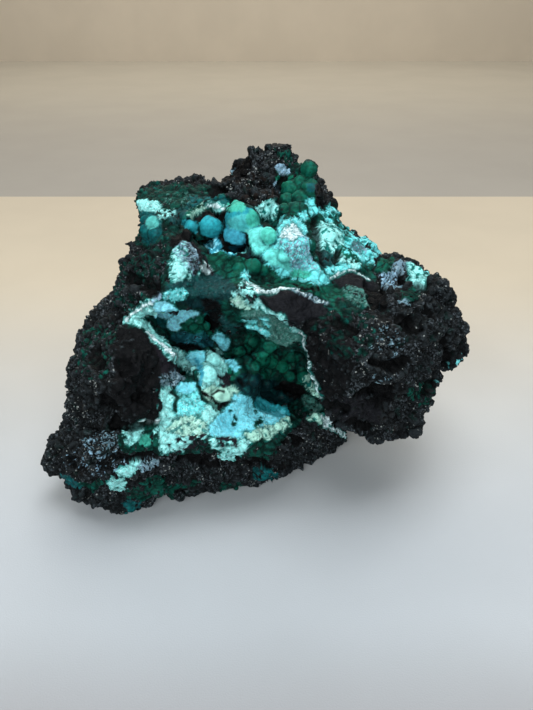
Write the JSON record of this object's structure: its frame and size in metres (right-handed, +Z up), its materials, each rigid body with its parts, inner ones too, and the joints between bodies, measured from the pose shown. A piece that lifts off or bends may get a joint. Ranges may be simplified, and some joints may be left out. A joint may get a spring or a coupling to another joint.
{
  "type": "chrysocolla mineral specimen",
  "caption": "Craggy black matrix rock with two open hollows, each lined with a botryoidal crust of green malachite and sky-blue chrysocolla; stands on a flat spot.",
  "frame": {"origin": "centre of the bounding box in plan, at the height of the flat spot that the rock rests on", "axes": "+X along the rock's width, to the right seen from its open front; +Z up; the hollows open towards -Y"},
  "size_m": [0.1389, 0.0997, 0.1045],
  "materials": {
    "matrix_rock": "black, gritty and broken, with fine pale glints and patches of chalky blue-green coating",
    "malachite_crust": "velvety dark to mid green botryoids with paler turquoise walls",
    "chrysocolla_crust": "smooth waxy turquoise botryoids, sky blue in the hollows"
  },
  "bodies": {
    "root": {"matrix": "matrix_rock", "lower_hollow_crust": "malachite_crust", "upper_hollow_crust": "chrysocolla_crust"}
  },
  "joints": []
}
